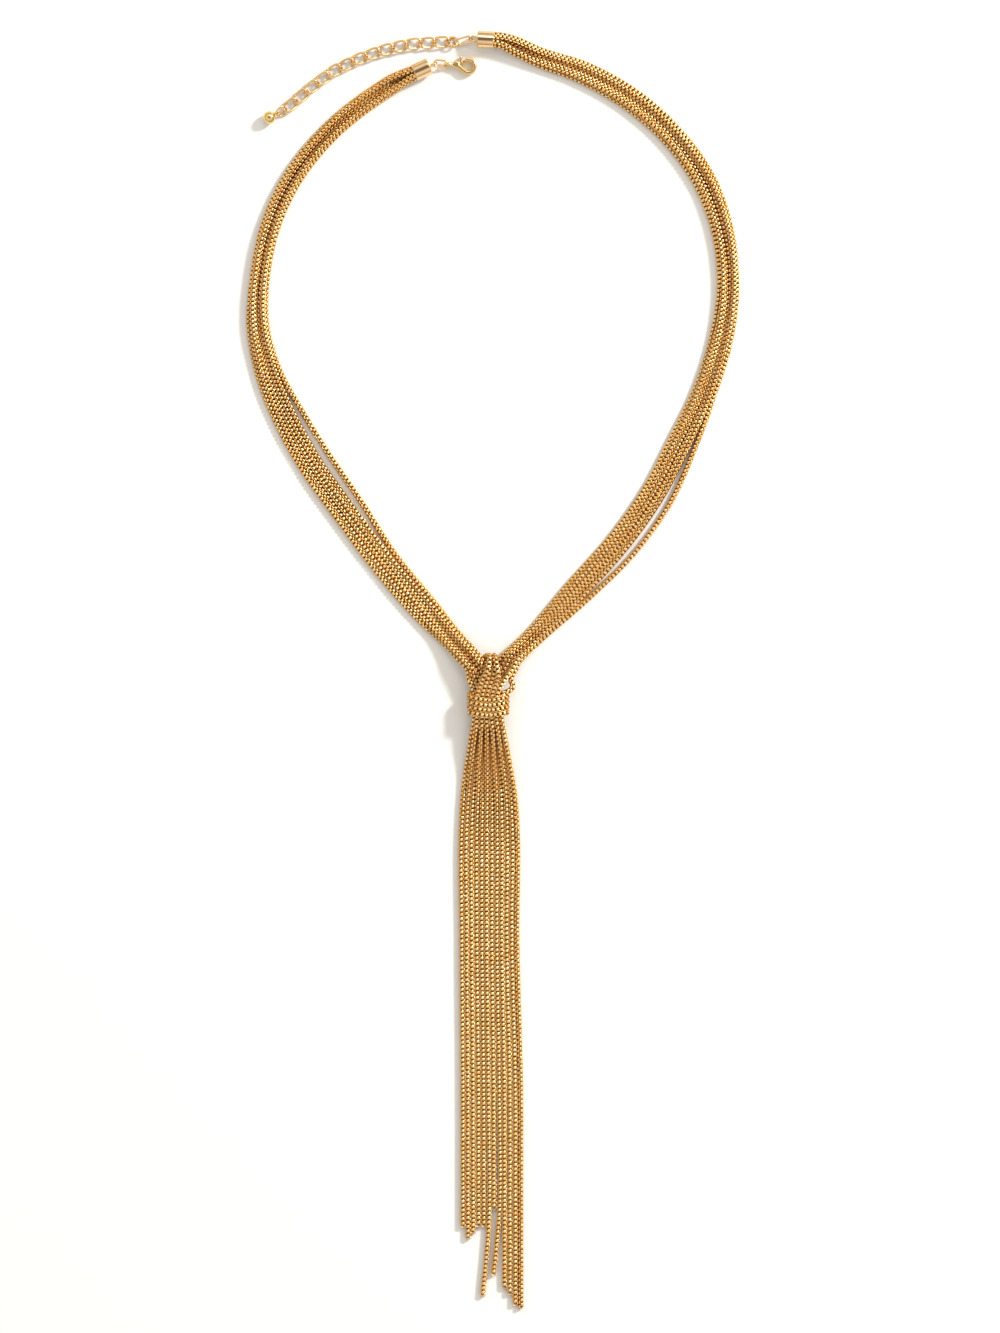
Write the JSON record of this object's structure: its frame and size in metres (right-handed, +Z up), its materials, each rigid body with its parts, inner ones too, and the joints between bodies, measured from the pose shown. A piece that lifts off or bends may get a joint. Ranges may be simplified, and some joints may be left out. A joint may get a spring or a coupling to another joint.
{
  "type": "tassel necklace",
  "caption": "Lariat necklace of fine box chains: two bundles meet in a knot and hang on as a long tassel, with a lobster clasp, end caps and a curb chain extender.",
  "frame": {"origin": "middle of the necklace's bounding box on the surface that it lies on, close above the knot", "axes": "+X to the right as pictured, +Y from the knot towards the clasp, +Z up from the surface"},
  "size_m": [0.1476, 0.3823, 0.0076],
  "materials": {
    "chain_gold": "bright yellow gold plating on fine box chain",
    "link_gold": "polished pale gold plating on wire",
    "finding_gold": "polished pale gold plating"
  },
  "bodies": {
    "necklace": {"strand_left_1": "chain_gold", "strand_left_2": "chain_gold", "strand_left_3": "chain_gold", "strand_left_4": "chain_gold", "strand_left_5": "chain_gold", "strand_left_6": "chain_gold", "strand_right_1": "chain_gold", "strand_right_2": "chain_gold", "strand_right_3": "chain_gold", "strand_right_4": "chain_gold", "strand_right_5": "chain_gold", "strand_right_6": "chain_gold", "end_cap_left": "finding_gold", "end_cap_right": "finding_gold", "clasp_ring": "link_gold", "clasp_body": "finding_gold", "extender_ring_1": "link_gold", "extender_ring_2": "link_gold", "curb_link_1": "link_gold", "curb_link_2": "link_gold", "curb_link_3": "link_gold", "curb_link_4": "link_gold", "curb_link_5": "link_gold", "curb_link_6": "link_gold", "curb_link_7": "link_gold", "curb_link_8": "link_gold", "curb_link_9": "link_gold", "curb_link_10": "link_gold", "curb_link_11": "link_gold", "curb_link_12": "link_gold", "curb_link_13": "link_gold", "bead_ring": "link_gold", "end_bead": "finding_gold"},
    "clasp_lever": {"clasp_lever": "finding_gold"}
  },
  "joints": [
    {"name": "clasp_lever_hinge", "type": "hinge", "parent": "necklace", "child": "clasp_lever", "pos_m": [-0.01061, 0.18117, 0.001], "axis": [0, 0, 1], "range_deg": [-22, 0], "stiffness_Nm_per_rad": 0.005, "springref_deg": 28.65}
  ]
}
